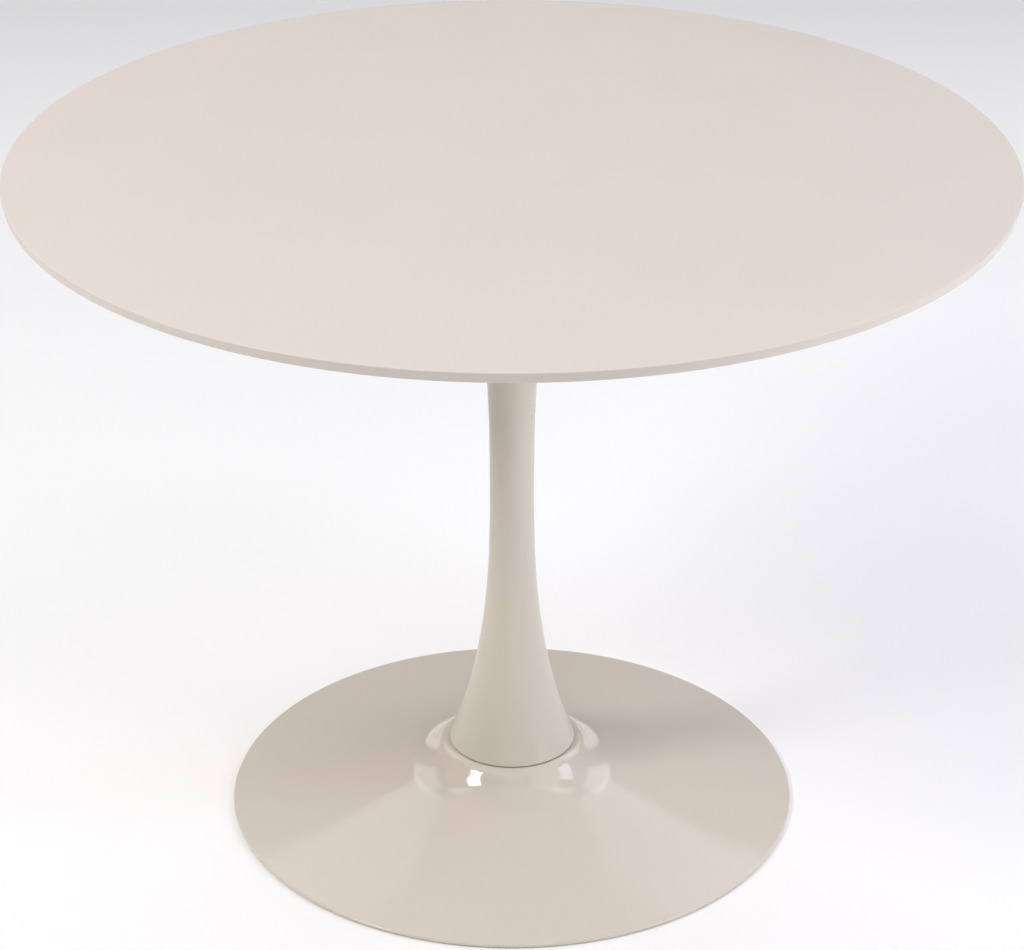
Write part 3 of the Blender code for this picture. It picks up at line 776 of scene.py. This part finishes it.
pad_low, pad_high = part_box("floor_pad_1")
PAD_COUNT = 8
PAD_RADIUS = 0.016
PAD_EASE = 0.0004
PAD_TOP_EASE = 0.0001
PAD_EASE_STEPS = 3

felt = Finish("pressed_felt", IOR=1.40, Sheen_Weight=0.4, Sheen_Roughness=0.5)
fibres = felt.noise(1200.0, 4.0, felt.stretched((1.0, 0.35, 1.0)))
felt.feed("Base Color", felt.blend(fibres * 0.6 + felt.noise(150.0, 3.0) * 0.4,
                                   (0.16, 0.15, 0.14), (0.30, 0.28, 0.26)))
felt.feed("Roughness", fibres * 0.1 + 0.88)
felt.bump(fibres * 0.8 + felt.noise(400.0, 2.0) * 0.2, 0.0003)

pad = turn("pad", [(0.0, pad_low.z), (PAD_RADIUS - PAD_EASE, pad_low.z),
                   *rounded((PAD_RADIUS - PAD_EASE, pad_low.z + PAD_EASE), PAD_EASE, math.pi,
                            math.pi / 2, PAD_EASE_STEPS)[1:],
                   (PAD_RADIUS, pad_high.z - PAD_TOP_EASE),
                   (PAD_RADIUS - PAD_TOP_EASE, pad_high.z), (0.0, pad_high.z)], SMALL_SEGMENTS)
set_out(pad, [f"floor_pad_{number}" for number in range(1, PAD_COUNT + 1)], "felt_pad",
        felt.material, "pad_felt", (pad_low.z + pad_high.z) / 2)

# ---- Floor ------------------------------------------------------------------------------
# A wide sheet of plain white paper, which glows a little to keep it bright. It can be seen
# through from below, so that the underside of the table can be looked at.

FLOOR_SIZE = 60.0
bpy.ops.object.select_all(action="DESELECT")
bpy.ops.mesh.primitive_plane_add(size=FLOOR_SIZE)
floor = bpy.context.object
floor.name = "paper_floor"
paper = Finish("white_paper", Roughness=0.9, Specular_IOR_Level=0.0,
               Emission_Color=(1.0, 1.0, 1.0, 1.0), Emission_Strength=0.05)
paper.feed("Base Color", paper.blend(paper.noise(0.7, 2.0), (0.93, 0.93, 0.93),
                                     (0.95, 0.95, 0.95)))
clear = paper.wire.add("ShaderNodeBsdfTransparent")
beneath = paper.wire.add("ShaderNodeNewGeometry", output="Backfacing")
sheet = Wire(paper.material.node_tree, paper.shader.outputs[0])
seen = paper.wire.add("ShaderNodeMixShader", None, {0: beneath, 1: sheet, 2: clear})
paper.material.node_tree.links.new(seen.socket, paper.material.node_tree.nodes["Material Output"]
                                   .inputs["Surface"])
floor.data.materials.append(paper.material)

# ---- Light ------------------------------------------------------------------------------
# A dark studio with soft panels all round: a small strong one high on the left, which shows
# as a bright square on the foot's shoulder, weaker ones on the right and overhead, and a
# wide one at the back, which the glossy foot mirrors on each side of the column.

bpy.context.scene.view_settings.view_transform = "Standard"

LIGHT_AIM = (0, 0, 0.4)

world = bpy.data.worlds.new("studio")
bpy.context.scene.world = world
world.use_nodes = True
world.node_tree.nodes["Background"].inputs["Color"].default_value = (1.0, 1.0, 1.0, 1.0)
world.node_tree.nodes["Background"].inputs["Strength"].default_value = 0.05


def panel(name, place, width, height, power, colour=(1.0, 1.0, 1.0)):
    """A soft light panel that faces the middle of the table."""
    bpy.ops.object.select_all(action="DESELECT")
    bpy.ops.object.light_add(type="AREA", location=place)
    light = bpy.context.object
    light.name = name
    light.rotation_mode = "QUATERNION"
    light.rotation_quaternion = (Vector(LIGHT_AIM) - Vector(place)).to_track_quat("-Z", "Y")
    light.data.shape = "RECTANGLE"
    light.data.size = width
    light.data.size_y = height
    light.data.energy = power
    light.data.color = colour


panel("left_key", (-2.8, -1.5, 2.8), 1.1, 1.0, 68.0, (1.0, 0.97, 0.95))
panel("left_side", (-3.6, 0.0, 2.1), 1.8, 1.8, 6.0, (1.0, 0.90, 0.75))
panel("left_back", (-2.4, 2.4, 2.4), 1.8, 1.8, 14.0)
panel("left_overhead", (-2.0, 0.0, 3.9), 1.8, 1.8, 26.0, (0.95, 1.0, 1.0))
panel("right_side", (3.5, -0.2, 2.0), 1.2, 1.2, 22.0, (0.85, 0.88, 1.15))
panel("right_low", (3.3, -1.6, 1.3), 1.6, 1.6, 37.0)
panel("right_front", (2.5, -1.8, 3.0), 2.6, 2.6, 28.0, (1.0, 0.98, 1.05))
panel("right_overhead", (2.0, 0.0, 3.9), 1.8, 1.8, 21.0, (0.95, 1.0, 1.05))
panel("right_back", (2.4, 2.4, 2.4), 1.8, 1.8, 16.0)
panel("wide_back", (0.0, 3.0, 3.8), 5.0, 2.0, 38.0, (1.0, 0.97, 1.03))
panel("front", (0.0, -3.3, 2.7), 1.8, 1.2, 5.0)
panel("front_overhead", (0.0, -2.0, 3.9), 2.0, 2.0, 10.0)
panel("overhead", (0.0, 0.0, 4.4), 2.5, 2.5, 10.0)

# ---- Camera -----------------------------------------------------------------------------
# Square on to the table and about three metres off, looking down at it through a long lens
# from well above its top.

CAMERA_PLACE = (0.0, -3.0705, 1.9316)
CAMERA_TILT = math.radians(26.62)
CAMERA_LENS = 113.4

bpy.ops.object.camera_add(location=CAMERA_PLACE, rotation=(math.pi / 2 - CAMERA_TILT, 0, 0))
camera = bpy.context.object
camera.name = "camera"
camera.data.sensor_width = 36.0
camera.data.lens = CAMERA_LENS
bpy.context.scene.camera = camera
